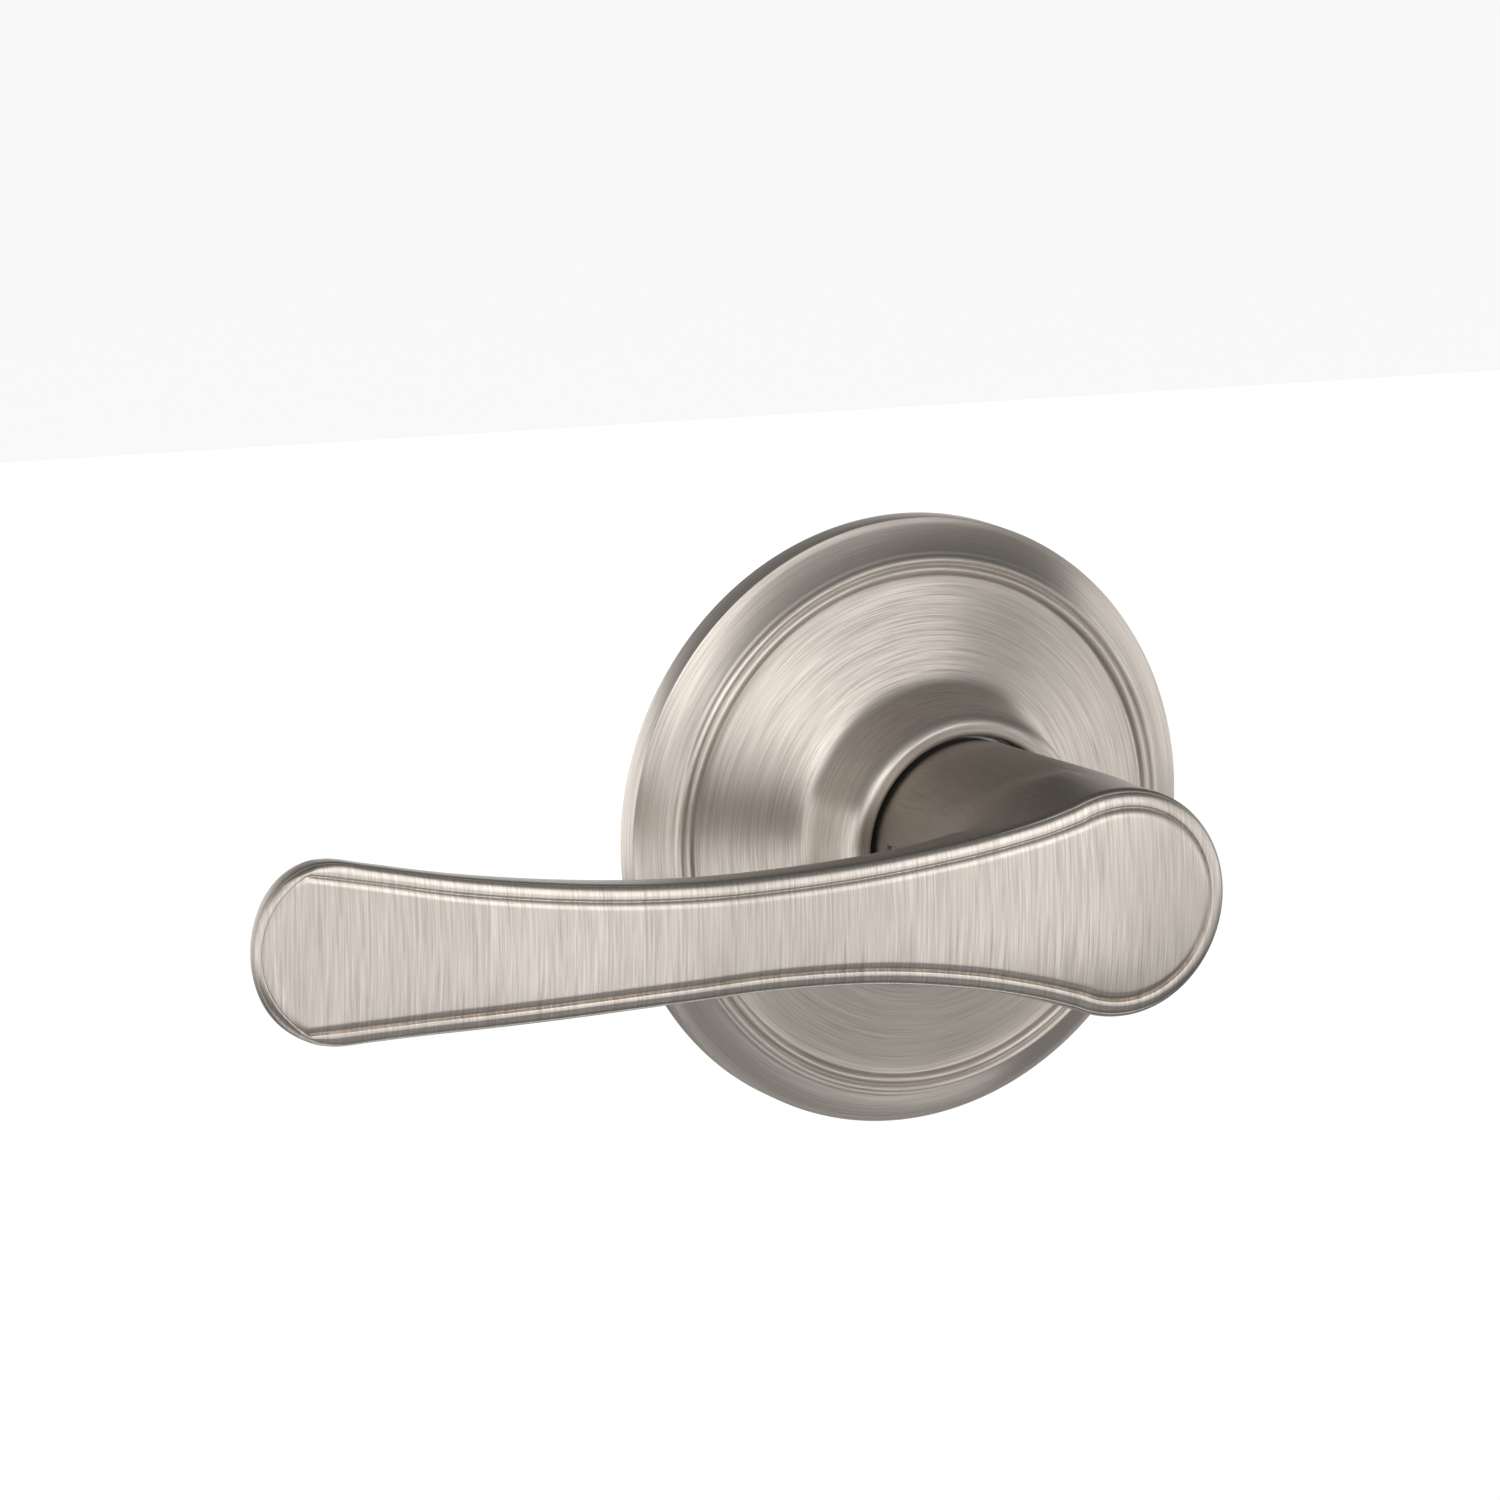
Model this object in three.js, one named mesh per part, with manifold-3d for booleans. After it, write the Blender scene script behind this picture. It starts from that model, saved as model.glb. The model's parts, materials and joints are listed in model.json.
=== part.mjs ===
// Door lever handle, outside half of a passage set: lever, rose and the chassis behind them.
// Millimetres, +Z up. The door's face is the plane y = 0, the room is on its -Y side and the door is on
// its +Y side. The origin is on the lever's turning axis at the door's face. The arm points along -X.
// "out" is a distance from the door's face into the room, so y = -out, and "along" runs from the axis
// towards the arm's tip, so x = -along.
import * as THREE from 'three';
import { mergeVertices } from 'three/addons/utils/BufferGeometryUtils.js';
import { ParametricGeometry } from 'three/addons/geometries/ParametricGeometry.js';
import Module from 'manifold-3d';

const wasm = await Module();
wasm.setup();

// ---------------------------------------------------------------- driving dimensions

const GAP = 0.3;                  // running clearance between neighbouring pieces
const ROUND = 32;                 // sides of a hidden turned piece
const ROUND_VISIBLE = 48;         // sides of the rose and the neck
const ROUND_SMALL = 14;           // sides of rivets and their holes

const ROSE_RADIUS = 33;           // covers a cross bore of radius 27
const ROSE_WALL = 1;
const COLLAR_TOP = 16.85;         // highest point of the rose's collar
const COLLAR_HOLE = 11.72;

const HUB_SHIFT = -0.7;           // along: centre of the arm's round hub
const HUB_RADIUS = 11.72;         // radius of the hub's sharp front edge
const ARM_TIP = 88.8;             // along: end of the sharp front edge
const BORDER = 1.62;              // width of the border round the face panel
const EDGE_DROP = 0.6;            // the sharp front edge lies this far behind the panel's edge
const GROOVE_DEPTH = 0.3;         // the groove between the panel and its border
const PANEL_CROWN = 55;           // radius of the panel's crown across the arm

const NECK_END = 16.6;            // out: end of the neck, level with the collar
const NECK_RADIUS = 11.35;
const NECK_TOP = 46.8;            // out: where the neck meets the hub
const NECK_TOP_RADIUS = 12.1;

const TUBE_RADIUS = 8.1;          // drive tube that the lever slides on
const TUBE_BORE = 6.9;
const TUBE_TOP = 30;              // out: end of the tube inside the neck
const TUBE_FLAT = 7.4;            // half the distance between the tube's two flats
const FLATS_START = 16;           // out: the flats run from here to the tube's end
const CAM_BACK = 7.8;             // y: back of the rotor cam and of the tube

const CATCH_OUT = 20.3;           // out: middle of the catch slot
const CATCH_HIGH = 1.2;           // z: middle of the catch slot
const CATCH_TIP = 10.9;           // along: end of the plunger's nose

const PLATE_RADIUS = 30.6;
const PLATE_THICK = 1.6;
const SLEEVE_RADIUS = 11.8;
const CAGE_RADIUS = 23.4;
const CAGE_FLANGE = 26.4;
const CAGE_DEPTH = 10;
const SHEET = 0.9;                // thickness of the cage's sheet
const POST_SPACING = 38;
const POST_RADIUS = 3.2;
const POST_LENGTH = 18;
const POST_THREAD = 2.3;          // radius of the stub through the plate
const TAP_RADIUS = 1.9;           // tapped hole for the through screw
const TAP_DEPTH = 14;
const SPINDLE_SIDE = 7.9;
const SPINDLE_LENGTH = 48;

// ---------------------------------------------------------------- materials

function finish(color, roughness, metalness = 1) {
  return new THREE.MeshStandardMaterial({ color, roughness, metalness });
}
const nickel = finish(0xbdb4a8, 0.36);
const zincPlate = finish(0xb9bcc0, 0.42);
const springSteel = finish(0x7d8084, 0.34);
const castZinc = finish(0x9fa0a0, 0.55);
const nylon = finish(0xe6e2d6, 0.6, 0);

// ---------------------------------------------------------------- solids

// A closed geometry as a manifold solid, with its faces turned outwards.
function solid(geometry) {
  const bare = geometry.clone();
  bare.deleteAttribute('normal');
  bare.deleteAttribute('uv');
  const merged = mergeVertices(bare, 1e-4);
  const position = merged.attributes.position;
  const corners = [];
  let volume = 0;
  const [a, b, c] = [new THREE.Vector3(), new THREE.Vector3(), new THREE.Vector3()];
  for (let i = 0; i < merged.index.count; i += 3) {
    const [p, q, r] = [0, 1, 2].map((k) => merged.index.getX(i + k));
    if (p === q || q === r || r === p) continue;
    corners.push(p, q, r);
    a.fromBufferAttribute(position, p);
    b.fromBufferAttribute(position, q);
    c.fromBufferAttribute(position, r);
    volume += a.dot(b.cross(c));
  }
  if (volume < 0) corners.reverse();
  const triVerts = new Uint32Array(corners);
  const vertProperties = new Float32Array(position.array);
  return new wasm.Manifold(new wasm.Mesh({ numProp: 3, vertProperties, triVerts }));
}

function geometryOf(body) {
  const mesh = body.getMesh();
  const geometry = new THREE.BufferGeometry();
  geometry.setAttribute('position', new THREE.BufferAttribute(new Float32Array(mesh.vertProperties), 3));
  geometry.setIndex([...mesh.triVerts]);
  geometry.computeVertexNormals();
  return geometry;
}

// A solid of revolution about the turning axis, from a closed profile of [radius, out] points.
function turned(profile, sides = ROUND) {
  const points = profile.map(([radius, out]) => new THREE.Vector2(radius, -out));
  points.push(points[0].clone());
  return solid(new THREE.LatheGeometry(points, sides));
}

// A round bar along the turning axis, centred on x and z.
function bar(radius, outFrom, outTo, x = 0, z = 0, sides = ROUND) {
  const geometry = new THREE.CylinderGeometry(radius, radius, outTo - outFrom, sides);
  geometry.translate(x, -(outFrom + outTo) / 2, z);
  return solid(geometry);
}

function ring(inner, outer, outFrom, outTo, sides = ROUND) {
  return turned([[inner, outFrom], [outer, outFrom], [outer, outTo], [inner, outTo]], sides);
}

// A block between two corners given as [along, out, up].
function block([a1, o1, u1], [a2, o2, u2]) {
  const geometry = new THREE.BoxGeometry(Math.abs(a2 - a1), Math.abs(o2 - o1), Math.abs(u2 - u1));
  geometry.translate(-(a1 + a2) / 2, -(o1 + o2) / 2, (u1 + u2) / 2);
  return solid(geometry);
}

function rotatedAboutAxis(body, degrees) {
  return body.rotate([0, degrees, 0]);
}

// A wire along a curve, with flat ends.
function wire(curve, radius, steps, sides) {
  const section = new THREE.Shape();
  for (let i = 0; i < sides; i += 1) {
    const angle = (i / sides) * 2 * Math.PI;
    const point = [radius * Math.cos(angle), radius * Math.sin(angle)];
    if (i === 0) section.moveTo(...point);
    else section.lineTo(...point);
  }
  const options = { steps, extrudePath: curve, bevelEnabled: false };
  return solid(new THREE.ExtrudeGeometry(section, options));
}

const group = new THREE.Group();

function add(name, body, material) {
  const mesh = new THREE.Mesh(geometryOf(body), material);
  mesh.name = name;
  group.add(mesh);
  return mesh;
}

// ---------------------------------------------------------------- lever: smooth quantities along the arm

// A smooth function through [along, value] knots.
function through(knots) {
  const slope = knots.map((knot, i) => {
    const before = knots[Math.max(i - 1, 0)];
    const after = knots[Math.min(i + 1, knots.length - 1)];
    return (after[1] - before[1]) / (after[0] - before[0]);
  });
  return (along) => {
    let i = 0;
    while (i < knots.length - 2 && along > knots[i + 1][0]) i += 1;
    const span = knots[i + 1][0] - knots[i][0];
    const t = THREE.MathUtils.clamp((along - knots[i][0]) / span, 0, 1);
    const ease = t * t * (3 - 2 * t);
    const leaving = t * (1 - t) * (1 - t) * span * slope[i];
    const arriving = t * t * (t - 1) * span * slope[i + 1];
    return knots[i][1] + (knots[i + 1][1] - knots[i][1]) * ease + leaving + arriving;
  };
}

// out: the panel's edge. It is highest on the hub, eases down to the waist, and bows back at the tip.
const faceOut = through([
  [-12.5, 49.3], [-1.5, 49.2], [6.5, 48.35], [14.5, 46.8], [24.5, 45.4], [36.5, 44.9], [47.5, 44.8],
  [58.5, 43.1], [68.5, 39.7], [78.5, 34.5], [84.5, 31.4], [89.5, 29],
]);
// How far the arm's flank stands outside the sharp front edge.
const sideBulge = through([[-13, 0.45], [60, 0.45], [76, 0.25], [84, 0.15], [89, 0.15]]);
// Thickness from the panel's edge to the back: deeper where the arm runs into the neck, thin at the nose.
const thickness = through([
  [-12.5, 4.1], [0.5, 7.5], [8.5, 12.2], [11.5, 12.4], [13.5, 11.1], [17.5, 8.8], [23.5, 7.5],
  [34.5, 7.2], [56.5, 6.9], [74.5, 5.8], [82.5, 4.8], [86.5, 3.7], [89, 2.2],
]);

// The arm's outline leaves the hub's circle at this angle.
const HUB_LEAVE = THREE.MathUtils.degToRad(68.7);
const HUB_STEPS = 12;
const ARM_STEPS = 24;
const NOSE_STEPS = 8;

// Half an outline, seen from the front, from the hub's end to the tip, as [along, up] points.
function halfOutline(hubRadius, armPoints, nose) {
  const hub = new THREE.EllipseCurve(HUB_SHIFT, 0, hubRadius, hubRadius, Math.PI, HUB_LEAVE, true);
  const leave = hub.getPoint(1);
  const arm = new THREE.SplineCurve([leave, ...armPoints.map(([along, up]) => new THREE.Vector2(along, up))]);
  const points = hub.getSpacedPoints(HUB_STEPS);
  points.push(...arm.getSpacedPoints(ARM_STEPS).slice(1));
  points.push(...nose.getSpacedPoints(NOSE_STEPS).slice(1));
  points[0].y = 0;
  points[points.length - 1].y = 0;
  return points;
}

const ARM_OUTLINE = [
  [9.4, 9], [16.5, 7.5], [26.5, 6.35], [38.5, 5.8], [50.5, 6], [60.5, 6.65], [70.5, 7.75], [77.5, 8.8],
];
const NOSE_CENTRE = 81.6;
const NOSE_HALF_WIDTH = 9.5;
const NOSE_LEAVE = THREE.MathUtils.degToRad(78.5);
const noseEdge = new THREE.EllipseCurve(
  NOSE_CENTRE, 0, ARM_TIP - NOSE_CENTRE, NOSE_HALF_WIDTH, NOSE_LEAVE, 0, true,
);
const edgeLine = halfOutline(
  HUB_RADIUS,
  [...ARM_OUTLINE, [NOSE_CENTRE, NOSE_HALF_WIDTH], noseEdge.getPoint(0).toArray()],
  noseEdge,
);

// The panel's edge is the same outline, a border narrower. It ends at the tip in a flatter arc with two
// corners.
const PANEL_TIP = 88.3;
const PANEL_CORNER_UP = 8.2;
const PANEL_END_RADIUS = 10.2;
const cornerAngle = Math.asin(PANEL_CORNER_UP / PANEL_END_RADIUS);
const panelEnd = new THREE.EllipseCurve(
  PANEL_TIP - PANEL_END_RADIUS, 0, PANEL_END_RADIUS, PANEL_END_RADIUS, cornerAngle, 0, true,
);
const panelLine = halfOutline(
  HUB_RADIUS - BORDER,
  [...ARM_OUTLINE.map(([along, up]) => [along, up - BORDER]), panelEnd.getPoint(0).toArray()],
  panelEnd,
);

// Outward normals of the sharp front edge in the [along, up] plane.
const edgeNormal = edgeLine.map((point, i) => {
  const before = edgeLine[Math.max(i - 1, 0)];
  const after = edgeLine[Math.min(i + 1, edgeLine.length - 1)];
  const tangent = after.clone().sub(before).normalize();
  return new THREE.Vector2(-tangent.y, tangent.x);
});
edgeNormal[0].set(-1, 0);
edgeNormal[edgeNormal.length - 1].set(1, 0);

// One point of the arm's skin, as { along, up, out }, on rib number rib of the station i.
const panelRib = (across) => (i) => {
  const edge = panelLine[i];
  const up = edge.y * across;
  const crown = (edge.y ** 2 - up ** 2) / (2 * PANEL_CROWN);
  return { along: edge.x, up, out: faceOut(edge.x) + crown };
};
const borderRib = (outward, depth) => (i) => {
  const { x, y } = panelLine[i].clone().lerp(edgeLine[i], outward);
  return { along: x, up: y, out: faceOut(x) - depth };
};
const flankRib = (outward, deep) => (i) => {
  const { x, y } = edgeLine[i].clone().addScaledVector(edgeNormal[i], outward * sideBulge(edgeLine[i].x));
  const out = faceOut(edgeLine[i].x) - EDGE_DROP - (thickness(edgeLine[i].x) - EDGE_DROP) * deep;
  return { along: x, up: y, out };
};
const backRib = (across, deep) => (i) => {
  const point = flankRib(0, deep)(i);
  return { ...point, up: point.up * across };
};
const RIBS = [
  panelRib(0), panelRib(0.45), panelRib(0.8), panelRib(0.95),
  borderRib(0, GROOVE_DEPTH), borderRib(0.15, 0.08), borderRib(0.56, 0.17), borderRib(1, EDGE_DROP),
  flankRib(0.85, 0.08), flankRib(1, 0.22), flankRib(0.6, 0.5),
  backRib(0.9, 0.8), backRib(0.62, 0.95), backRib(0, 1),
];

function armSolid() {
  const stations = edgeLine.length - 1;
  const loop = 2 * (RIBS.length - 1);
  const skin = (u, v, target) => {
    const i = Math.round(u * stations);
    const j = Math.round(v * loop);
    const below = j > RIBS.length - 1;
    const { along, up, out } = RIBS[below ? loop - j : j](i);
    target.set(-along, -out, below ? -up : up);
  };
  return solid(new ParametricGeometry(skin, stations, loop));
}

function neckSolid() {
  const profile = [
    [0, NECK_END], [NECK_RADIUS - 0.45, NECK_END], [NECK_RADIUS, NECK_END + 0.45],
    [NECK_RADIUS + 0.3, 26], [NECK_TOP_RADIUS - 0.12, 36], [NECK_TOP_RADIUS, NECK_TOP - 2],
    [NECK_TOP_RADIUS - 0.4, NECK_TOP], [0, NECK_TOP],
  ];
  const points = profile.map(([radius, out]) => new THREE.Vector2(radius, -out));
  const neck = new THREE.LatheGeometry(points, ROUND_VISIBLE);
  const lean = HUB_SHIFT / (NECK_TOP - NECK_END);
  neck.translate(0, NECK_END, 0);
  neck.applyMatrix4(new THREE.Matrix4().makeShear(0, 0, lean, 0, 0, 0));
  neck.translate(0, -NECK_END, 0);
  return solid(neck);
}

const SLOT_LONG = 1.9;            // length of the catch slot along the neck
const SLOT_TALL = 1;
const catchSlot = block(
  [NECK_RADIUS - 6, CATCH_OUT - SLOT_LONG / 2, CATCH_HIGH - SLOT_TALL / 2],
  [NECK_RADIUS + 3, CATCH_OUT + SLOT_LONG / 2, CATCH_HIGH + SLOT_TALL / 2],
);
const SIDEWAYS = 12;              // past the neck's surface, for cuts that pass right through

function leverHandle() {
  const mouth = bar(TUBE_RADIUS + GAP, NECK_END - 1, FLATS_START + 2);
  const flats = block([-SIDEWAYS, FLATS_START, -TUBE_FLAT - GAP], [SIDEWAYS, TUBE_TOP + 1, TUBE_FLAT + GAP]);
  const bore = bar(TUBE_RADIUS + GAP, FLATS_START, TUBE_TOP + 1).intersect(flats);
  return armSolid().add(neckSolid()).subtract(mouth).subtract(bore).subtract(catchSlot);
}
add('lever_handle', leverHandle(), nickel);

// ---------------------------------------------------------------- rose cover

// From the rim over the cove, the two beads, the coned face and the collar's cove, to the collar's lip.
const ROSE_OUTSIDE = [
  [ROSE_RADIUS, 0], [ROSE_RADIUS, 2.95], [31.6, 3.3], [30.5, 4], [29.8, 4.95],
  [29.35, 5.75], [28.88, 6.15], [28.35, 5.8], [27.84, 6.2], [27.1, 5.55],
  [23.5, 6.4], [17.8, 8], [16.4, 8.7], [15.5, 9.9], [15, 11.6], [14.65, 13.4], [14.3, 15],
  [14.05, 15.9], [13.7, 16.5], [13.2, COLLAR_TOP], [12.1, COLLAR_TOP - 0.05], [COLLAR_HOLE, 16.3],
];
const ROSE_INSIDE = [
  [COLLAR_HOLE, 15.2], [12.9, 14.6], [13.4, 13.8], [13.7, 12.8], [14.05, 11.2], [14.7, 9.2],
  [15.9, 7.9], [17.6, 7], [23.3, 5.4], [26, 4.8], [28.6, 4.8], [29.3, 3.8], [30.8, 2.4],
  [ROSE_RADIUS - ROSE_WALL, 1.8], [ROSE_RADIUS - ROSE_WALL, 0],
];
add('rose_cover', turned([...ROSE_OUTSIDE, ...ROSE_INSIDE], ROUND_VISIBLE), nickel);

// ---------------------------------------------------------------- plate, sleeve and bearing

const RIVET_RADIUS = 0.8;
const CAGE_RIVET_CIRCLE = 25;
const CAGE_RIVET_ANGLES = [45, 135, 225, 315];
const CLIP_ANGLES = [90, 210, 330];
const CLIP_RIVET_CIRCLE = 26.8;
const polar = (radius, degrees) => {
  const angle = THREE.MathUtils.degToRad(degrees);
  return [radius * Math.cos(angle), radius * Math.sin(angle)];
};
const posts = [['left', -POST_SPACING / 2], ['right', POST_SPACING / 2]];

function mountingPlate() {
  let plate = ring(TUBE_RADIUS + GAP, PLATE_RADIUS, 0, PLATE_THICK, ROUND_VISIBLE);
  const hole = (radius, x, z) => bar(radius, -1, PLATE_THICK + 1, x, z, ROUND_SMALL);
  for (const [, x] of posts) plate = plate.subtract(hole(POST_THREAD + GAP, x, 0));
  for (const degrees of CAGE_RIVET_ANGLES) {
    plate = plate.subtract(hole(RIVET_RADIUS + GAP, ...polar(CAGE_RIVET_CIRCLE, degrees)));
  }
  for (const degrees of CLIP_ANGLES) {
    plate = plate.subtract(hole(RIVET_RADIUS + GAP, ...polar(CLIP_RIVET_CIRCLE, degrees)));
  }
  return plate;
}
add('mounting_plate', mountingPlate(), zincPlate);

const SLEEVE_BORE = 10.6;
const SLEEVE_TOP = 12.2;
const SLEEVE_FLANGE = 13.2;
const onPlate = PLATE_THICK + GAP;
add('hub_sleeve', turned([
  [SLEEVE_BORE, onPlate], [SLEEVE_FLANGE, onPlate], [SLEEVE_FLANGE, onPlate + 1],
  [SLEEVE_RADIUS, onPlate + 1.6], [SLEEVE_RADIUS, SLEEVE_TOP], [SLEEVE_BORE, SLEEVE_TOP],
]), zincPlate);

const BUSH_COLLAR = 0.7;          // thickness of the bushing's collar over the sleeve
const bushTop = SLEEVE_TOP + GAP + BUSH_COLLAR;
add('tube_bushing', turned([
  [TUBE_RADIUS + GAP, onPlate], [SLEEVE_BORE - GAP, onPlate], [SLEEVE_BORE - GAP, SLEEVE_TOP + GAP],
  [SLEEVE_RADIUS, SLEEVE_TOP + GAP], [SLEEVE_RADIUS, bushTop], [TUBE_RADIUS + GAP, bushTop],
]), nylon);
const WASHER_RADIUS = 11.4;
const WASHER_THICK = 0.4;
const washerTop = bushTop + GAP + WASHER_THICK;
add('thrust_washer', ring(TUBE_RADIUS + GAP, WASHER_RADIUS, bushTop + GAP, washerTop), zincPlate);

// A three-wave spring washer between the thrust washer and the retaining ring.
function waveWasher() {
  const WAVES = 3;
  const [inner, outer, thick, height, sides] = [TUBE_RADIUS + GAP, 10.6, 0.3, 0.16, 36];
  const middle = washerTop + GAP + height + thick / 2;
  const section = [[inner, -1], [outer, -1], [outer, 1], [inner, 1]];
  const skin = (u, v, target) => {
    const angle = u * 2 * Math.PI;
    const [radius, side] = section[Math.round(v * section.length) % section.length];
    const out = middle + height * Math.sin(WAVES * angle) + (side * thick) / 2;
    target.set(radius * Math.cos(angle), -out, radius * Math.sin(angle));
  };
  return solid(new ParametricGeometry(skin, sides, section.length));
}
add('wave_washer', waveWasher(), springSteel);

const RETAINER_OUT = 15.1;
const RETAINER_THICK = 0.8;
const RETAINER_INNER = 7.8;
const RETAINER_OUTER = 10.2;
const RETAINER_OPENING = 3;       // half the width of the ring's opening
const GROOVE_RADIUS = RETAINER_INNER - GAP;
const GROOVE_SLACK = 0.25;        // room in front of and behind the ring
function retainingRing() {
  const opening = block(
    [-RETAINER_OPENING, RETAINER_OUT - 1, 4],
    [RETAINER_OPENING, RETAINER_OUT + RETAINER_THICK + 1, RETAINER_OUTER + 1],
  );
  const whole = ring(RETAINER_INNER, RETAINER_OUTER, RETAINER_OUT, RETAINER_OUT + RETAINER_THICK);
  return whole.subtract(opening);
}
add('retaining_ring', retainingRing(), springSteel);

// ---------------------------------------------------------------- drive tube, cam and spindle

const NOTCH = 3;                  // width of the notches that the cam's lugs enter
const CAM_THICK = 1.6;
const PIN_RADIUS = 0.9;
function uprightBar(radius, reach) {
  const geometry = new THREE.CylinderGeometry(radius, radius, 2 * reach, 20);
  geometry.rotateX(Math.PI / 2);
  return solid(geometry);
}
const pinHole = uprightBar(PIN_RADIUS + GAP, SIDEWAYS);

function driveTube() {
  const grooveEnd = RETAINER_OUT + RETAINER_THICK + GROOVE_SLACK;
  const groove = ring(GROOVE_RADIUS, TUBE_RADIUS + 1, RETAINER_OUT - GROOVE_SLACK, grooveEnd);
  const flatCut = (side) => block(
    [-SIDEWAYS, FLATS_START + 0.4, side * TUBE_FLAT],
    [SIDEWAYS, TUBE_TOP + 1, side * SIDEWAYS],
  );
  const notches = block(
    [-SIDEWAYS, -CAM_BACK - 1, -NOTCH / 2],
    [SIDEWAYS, -CAM_BACK + CAM_THICK + GAP, NOTCH / 2],
  );
  return ring(TUBE_BORE, TUBE_RADIUS, -CAM_BACK, TUBE_TOP)
    .subtract(groove).subtract(flatCut(1)).subtract(flatCut(-1))
    .subtract(notches).subtract(pinHole).subtract(catchSlot);
}
add('drive_tube', driveTube(), zincPlate);

// The cam: a disc with two ears that meet the cage's stops, and two lugs in the tube's notches.
const CAM_RADIUS = 12;
const EAR_END = 20.4;
const EAR_WIDTH = 5;
const LUG_END = 11;
function rotorCam() {
  const [back, front] = [-CAM_BACK, -CAM_BACK + CAM_THICK];
  const disc = ring(TUBE_RADIUS + GAP, CAM_RADIUS, back, front);
  const ears = block([-EAR_WIDTH / 2, back, -EAR_END], [EAR_WIDTH / 2, front, EAR_END]);
  const lugs = block([-LUG_END, back, -NOTCH / 2 + GAP], [LUG_END, front, NOTCH / 2 - GAP]);
  const middle = bar(TUBE_RADIUS + GAP, back - 1, front + 1);
  const lugCore = bar(TUBE_BORE, back - 1, front + 1);
  return disc.add(ears.subtract(middle)).add(lugs.subtract(lugCore));
}
add('rotor_cam', rotorCam(), zincPlate);

const SPINDLE_FRONT = 4;          // out: front end of the spindle and of its driver
function squareBar(halfSide, outFrom, outTo) {
  return block([-halfSide, outFrom, -halfSide], [halfSide, outTo, halfSide]);
}
function spindleDriver() {
  const hole = squareBar(SPINDLE_SIDE / 2 + GAP, -CAM_BACK - 1, SPINDLE_FRONT + 1);
  const disc = bar(TUBE_BORE - GAP, -CAM_BACK + CAM_THICK + GAP, SPINDLE_FRONT);
  return disc.subtract(hole).subtract(pinHole);
}
add('spindle_driver', spindleDriver(), castZinc);
add('spindle_bar', squareBar(SPINDLE_SIDE / 2, -SPINDLE_LENGTH, SPINDLE_FRONT).subtract(pinHole), zincPlate);
add('spindle_pin', uprightBar(PIN_RADIUS, TUBE_RADIUS - 0.1), springSteel);

// ---------------------------------------------------------------- return spring and its cage

// Torsion spring round the tube, with both ends turned outwards.
class TorsionCoil extends THREE.Curve {
  constructor(radius, legEnd, turns, outFrom, outTo) {
    super();
    Object.assign(this, { radius, legEnd, turns, outFrom, outTo });
  }

  getPoint(t, target = new THREE.Vector3()) {
    const LEG_SHARE = 0.07;
    const inCoil = THREE.MathUtils.clamp((t - LEG_SHARE) / (1 - 2 * LEG_SHARE), 0, 1);
    const legShare = Math.max(LEG_SHARE - t, t - 1 + LEG_SHARE, 0) / LEG_SHARE;
    const radius = THREE.MathUtils.lerp(this.radius, this.legEnd, legShare);
    const lean = t < 0.5 ? legShare : -legShare;
    const angle = Math.PI / 2 - Math.PI * this.turns + 2 * Math.PI * this.turns * inCoil - 0.3 * lean;
    const out = THREE.MathUtils.lerp(this.outFrom, this.outTo, inCoil);
    return target.set(radius * Math.cos(angle), -out, radius * Math.sin(angle));
  }
}
const SPRING_WIRE = 0.85;
const COIL_RADIUS = 10.6;
const LEG_END = 17.5;
const COIL_TURNS = 2.2;
const springCoil = new TorsionCoil(COIL_RADIUS, LEG_END, COIL_TURNS, -4.9, -1.5);
add('return_spring', wire(springCoil, SPRING_WIRE, 56, 8), springSteel);

const STOP_ANGLES = [26, 154, 206, 334];
const STOP_HALF_WIDTH = 1.2;
const STOP_INNER = 16;
const STOP_OUTER = 19;
const STOP_RISE = 4.6;
const CAGE_HOLE = 9;
const flangeFront = -GAP;
const cageFloor = -CAGE_DEPTH;

function springCage() {
  let cage = turned([
    [CAGE_HOLE, cageFloor], [CAGE_RADIUS - 1, cageFloor], [CAGE_RADIUS, cageFloor + 1],
    [CAGE_RADIUS, flangeFront - SHEET], [CAGE_FLANGE, flangeFront - SHEET], [CAGE_FLANGE, flangeFront],
    [CAGE_RADIUS - SHEET, flangeFront], [CAGE_RADIUS - SHEET, cageFloor + SHEET],
    [CAGE_HOLE, cageFloor + SHEET],
  ], ROUND_VISIBLE);
  for (const degrees of STOP_ANGLES) {
    const stop = block(
      [-STOP_HALF_WIDTH, cageFloor + SHEET / 2, STOP_INNER],
      [STOP_HALF_WIDTH, cageFloor + STOP_RISE, STOP_OUTER],
    );
    cage = cage.add(rotatedAboutAxis(stop, 90 - degrees));
  }
  for (const [, x] of posts) {
    cage = cage.subtract(bar(POST_RADIUS + GAP, cageFloor - 1, flangeFront - SHEET - 0.6, x, 0, 24));
  }
  for (const degrees of CAGE_RIVET_ANGLES) {
    const [x, z] = polar(CAGE_RIVET_CIRCLE, degrees);
    cage = cage.subtract(bar(RIVET_RADIUS + GAP, flangeFront - SHEET - 1, 1, x, z, 20));
  }
  return cage;
}
add('spring_cage', springCage(), zincPlate);

// ---------------------------------------------------------------- fasteners

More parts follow.
